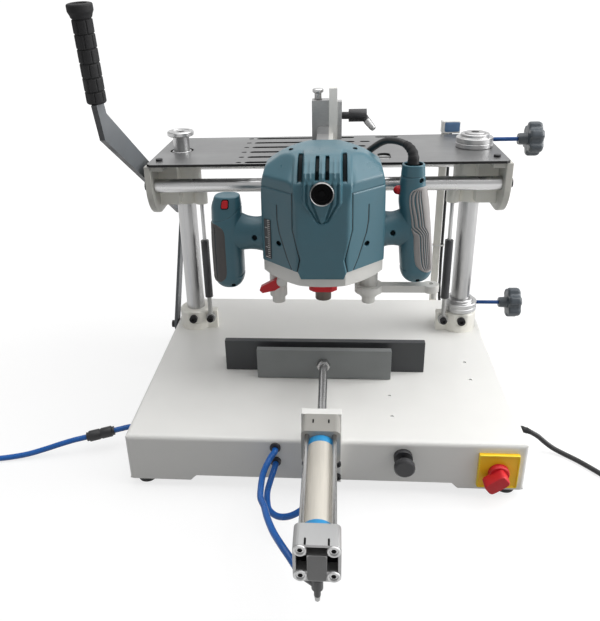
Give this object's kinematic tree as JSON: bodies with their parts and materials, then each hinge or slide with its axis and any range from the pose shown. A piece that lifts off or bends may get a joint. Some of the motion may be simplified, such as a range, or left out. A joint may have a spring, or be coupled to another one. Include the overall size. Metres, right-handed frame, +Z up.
{
  "type": "duplicating router",
  "caption": "Bench copy router: hand router on sliding rods under a slotted template plate, lowered on columns by a side lever over a base with fence and air clamp.",
  "frame": {"origin": "on the bench, under the middle of the base, at the centre of the four foot holes", "axes": "+X to the right, +Y to the back, +Z up"},
  "size_m": [1.0746, 0.7091, 0.6037],
  "materials": {
    "white_paint": "satin",
    "cream_paint": "satin",
    "grey_paint": "satin",
    "ground_steel": "polished",
    "turned_steel": "brushed",
    "plate_steel": "satin",
    "black_oxide": "satin",
    "aluminium_cast": "satin",
    "aluminium_drawn": "satin",
    "rubber_black": "matte",
    "plastic_black": "satin",
    "plastic_teal": "satin",
    "plastic_light": "satin",
    "plastic_red": "satin",
    "plastic_yellow": "satin",
    "plastic_blue": "satin",
    "tube_blue": "gloss"
  },
  "bodies": {
    "base": {"base_shell": "white_paint", "rubber_feet": "rubber_black", "columns": "ground_steel", "column_stops": "turned_steel", "column_feet": "turned_steel", "base_bolts": "black_oxide", "gas_cylinders": "black_oxide", "fence": "grey_paint", "cylinder_mount": "aluminium_cast", "rod_cap": "aluminium_cast", "tail_cap": "aluminium_cast", "barrel": "aluminium_drawn", "tie_rods": "turned_steel", "base_fittings": "plastic_black", "flow_valves": "plastic_black", "switch_plate": "plastic_yellow", "tube_upper": "tube_blue", "tube_lower": "tube_blue", "supply_stub": "tube_blue", "supply_union": "plastic_black", "supply_tube": "tube_blue", "supply_coil": "tube_blue", "supply_coupler": "turned_steel", "mains_lead": "rubber_black", "mains_coil": "rubber_black", "mains_plug": "rubber_black", "cable_post": "turned_steel", "post_cable": "rubber_black", "junction_box": "plastic_blue"},
    "stop_collar": {"stop_collar": "turned_steel"},
    "stop_knob": {"knob_stop": "plastic_black"},
    "top_knob": {"knob_top": "plastic_black"},
    "valve_knob": {"valve_knob": "plastic_black"},
    "switch_knob": {"switch_knob": "plastic_red"},
    "clamp": {"piston_rod": "ground_steel", "clamp_plate": "grey_paint"},
    "carriage": {"template_plate": "plate_steel", "carriage_screws": "black_oxide", "cheeks": "cream_paint", "sleeves": "cream_paint", "cross_rods": "ground_steel", "gas_rods": "ground_steel"},
    "lever": {"lever_bar": "grey_paint", "lever_grip": "rubber_black"},
    "link": {"link_bar": "grey_paint"},
    "cross_slide": {"cross_slide": "aluminium_cast"},
    "router": {"slide_rods": "ground_steel", "router_bracket": "aluminium_cast", "router_housing": "plastic_teal", "router_casting": "plastic_light", "router_handles": "plastic_teal", "grip_pads": "rubber_black", "side_arm": "plastic_light", "router_cord": "rubber_black"},
    "wing_lever": {"wing_lever": "plastic_red"},
    "spindle": {"spindle": "turned_steel"},
    "spindle_lock": {"spindle_lock": "plastic_red"},
    "lock_button": {"lock_button": "plastic_red"},
    "stylus_pin": {"stylus_pin": "ground_steel"},
    "clamp_lever": {"clamp_lever": "plastic_black"}
  },
  "joints": [
    {"name": "carriage_lift", "type": "slide", "parent": "base", "child": "carriage", "axis": [0, 0, 1], "range_m": [-0.05, 0], "stiffness_N_per_m": 600, "springref_m": 0.6},
    {"name": "lever_pull", "type": "hinge", "parent": "carriage", "child": "lever", "pos_m": [-0.2725, 0.11, 0.339], "axis": [1, 0, 0], "range_deg": [0, 13.82]},
    {"name": "link_swing", "type": "hinge", "parent": "base", "child": "link", "pos_m": [-0.265, 0.13, 0.07], "axis": [1, 0, 0], "range_deg": [-5.63, 0]},
    {"name": "cross_travel", "type": "slide", "parent": "carriage", "child": "cross_slide", "axis": [1, 0, 0], "range_m": [-0.095, 0.095]},
    {"name": "forward_travel", "type": "slide", "parent": "cross_slide", "child": "router", "axis": [0, 1, 0], "range_m": [-0.0984, 0.002]},
    {"name": "clamp_stroke", "type": "slide", "parent": "base", "child": "clamp", "axis": [0, 1, 0], "range_m": [-0.088, 0.0115]},
    {"name": "stop_height", "type": "slide", "parent": "base", "child": "stop_collar", "axis": [0, 0, 1], "range_m": [0, 0.1]},
    {"name": "stop_screw", "type": "hinge", "parent": "stop_collar", "child": "stop_knob", "pos_m": [0.25, 0.11, 0.1263], "axis": [1, 0, 0], "range_deg": [0, 360]},
    {"name": "top_screw", "type": "hinge", "parent": "base", "child": "top_knob", "pos_m": [0.25, 0.11, 0.3953], "axis": [1, 0, 0], "range_deg": [0, 360]},
    {"name": "valve_push", "type": "slide", "parent": "base", "child": "valve_knob", "axis": [0, 1, 0], "range_m": [0, 0.008]},
    {"name": "switch_turn", "type": "hinge", "parent": "base", "child": "switch_knob", "pos_m": [0.2235, -0.22, 0.0445], "axis": [0, 1, 0], "range_deg": [0, 90]},
    {"name": "wing_turn", "type": "hinge", "parent": "router", "child": "wing_lever", "pos_m": [-0.055, -0.089, 0.252], "axis": [0, 1, 0], "range_deg": [-50, 0]},
    {"name": "spindle_turn", "type": "hinge", "parent": "router", "child": "spindle", "pos_m": [0, -0.07, 0.24], "axis": [0, 0, 1], "continuous": true},
    {"name": "spindle_lock_push", "type": "slide", "parent": "router", "child": "spindle_lock", "axis": [0, 1, 0], "range_m": [0, 0.0025], "stiffness_N_per_m": 300, "springref_m": -0.001},
    {"name": "lock_button_push", "type": "slide", "parent": "router", "child": "lock_button", "axis": [1, 0, 0], "range_m": [0, 0.003], "stiffness_N_per_m": 300, "springref_m": -0.001},
    {"name": "stylus_drop", "type": "slide", "parent": "router", "child": "stylus_pin", "axis": [0, 0, 1], "range_m": [-0.006, 0]},
    {"name": "clamp_lever_turn", "type": "hinge", "parent": "router", "child": "clamp_lever", "pos_m": [0.03, 0.1219, 0.432], "axis": [1, 0, 0], "range_deg": [-40, 40]}
  ],
  "couplings": [
    {"joint": "lever_pull", "follows": "carriage_lift", "rad_per_m": -4.82},
    {"joint": "link_swing", "follows": "carriage_lift", "rad_per_m": 1.96}
  ]
}
